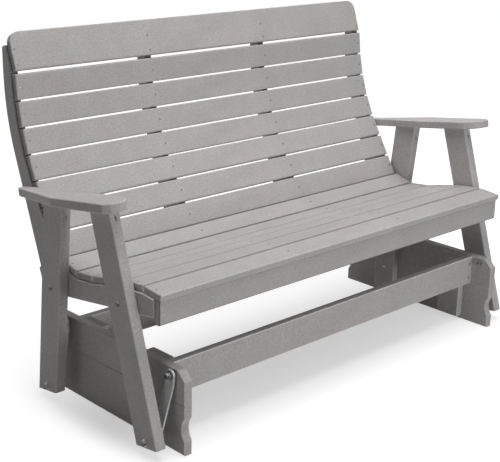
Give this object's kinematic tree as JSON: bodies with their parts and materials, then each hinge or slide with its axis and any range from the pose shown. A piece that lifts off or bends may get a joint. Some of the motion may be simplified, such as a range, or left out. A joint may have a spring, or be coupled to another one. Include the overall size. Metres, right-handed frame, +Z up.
{
  "type": "glider bench",
  "caption": "Slatted glider bench in grey recycled plastic lumber, whose contoured seat, rolled back and board arms hang from a floor base by offset steel links and glide fore and aft.",
  "frame": {"origin": "floor point under the middle of the bench's bounding box", "axes": "X runs along the bench with +X at the viewer's right in front of it, -Y is the front, +Z is up"},
  "size_m": [1.674, 0.768, 1.0617],
  "materials": {
    "lumber": "light grey recycled polyethylene lumber with a fine pebbled grain",
    "link_steel": "zinc-plated flat steel",
    "hardware": "stainless steel screws, bolts, nuts and washers",
    "bearing": "black nylon bush"
  },
  "bodies": {
    "base": {"base_left_lower_board": "lumber", "base_left_upper_board": "lumber", "base_right_lower_board": "lumber", "base_right_upper_board": "lumber", "base_screws": "hardware", "front_cross_beam": "lumber", "front_left_batten": "lumber", "front_right_batten": "lumber", "rear_cross_beam": "lumber", "rear_left_batten": "lumber", "rear_right_batten": "lumber", "upper_pivot_bolts": "hardware", "upper_pivot_nuts": "hardware", "upper_pivot_washers": "hardware"},
    "front_left_link": {"front_left_link": "link_steel", "front_left_link_bearings": "bearing"},
    "front_right_link": {"front_right_link": "link_steel", "front_right_link_bearings": "bearing"},
    "rear_left_link": {"rear_left_link": "link_steel", "rear_left_link_bearings": "bearing"},
    "rear_right_link": {"rear_right_link": "link_steel", "rear_right_link_bearings": "bearing"},
    "seat": {"arm_screws": "hardware", "armrest_left": "lumber", "armrest_right": "lumber", "back_crest_slat": "lumber", "back_screws": "hardware", "back_slat_1": "lumber", "back_slat_2": "lumber", "back_slat_3": "lumber", "back_slat_4": "lumber", "back_slat_5": "lumber", "back_slat_6": "lumber", "back_slat_7": "lumber", "back_stile_left": "lumber", "back_stile_mid_left": "lumber", "back_stile_mid_right": "lumber", "back_stile_right": "lumber", "front_apron": "lumber", "front_left_leg": "lumber", "front_right_leg": "lumber", "leg_bolt_nuts": "hardware", "leg_bolts": "hardware", "lower_pivot_bolts": "hardware", "lower_pivot_nuts": "hardware", "lower_pivot_washers": "hardware", "rear_left_leg": "lumber", "rear_right_leg": "lumber", "seat_rail_left": "lumber", "seat_rail_mid_left": "lumber", "seat_rail_mid_right": "lumber", "seat_rail_right": "lumber", "seat_screws": "hardware", "seat_slat_1": "lumber", "seat_slat_2": "lumber", "seat_slat_3": "lumber", "seat_slat_4": "lumber", "seat_slat_5": "lumber", "seat_slat_6": "lumber", "stile_foot_screws": "hardware"}
  },
  "joints": [
    {"name": "front_left_swing", "type": "hinge", "parent": "base", "child": "front_left_link", "pos_m": [-0.7163, -0.335, 0.228], "axis": [1, 0, 0], "range_deg": [-15, 15]},
    {"name": "seat_pivot", "type": "hinge", "parent": "front_left_link", "child": "seat", "pos_m": [-0.7457, -0.31601, 0.04297], "axis": [1, 0, 0], "range_deg": [-15.9, 15.9]},
    {"name": "front_right_swing", "type": "hinge", "parent": "base", "child": "front_right_link", "pos_m": [0.7163, -0.335, 0.228], "axis": [1, 0, 0], "range_deg": [-15, 15]},
    {"name": "rear_left_swing", "type": "hinge", "parent": "base", "child": "rear_left_link", "pos_m": [-0.7163, 0.1555, 0.228], "axis": [1, 0, 0], "range_deg": [-15, 15]},
    {"name": "rear_right_swing", "type": "hinge", "parent": "base", "child": "rear_right_link", "pos_m": [0.7163, 0.1555, 0.228], "axis": [1, 0, 0], "range_deg": [-15, 15]}
  ],
  "couplings": [
    {"joint": "seat_pivot", "follows": "front_left_swing", "ratio": -1.0492},
    {"joint": "front_right_swing", "follows": "front_left_swing", "ratio": 1},
    {"joint": "rear_left_swing", "follows": "front_left_swing", "ratio": 0.99467},
    {"joint": "rear_right_swing", "follows": "front_left_swing", "ratio": 0.99467}
  ]
}
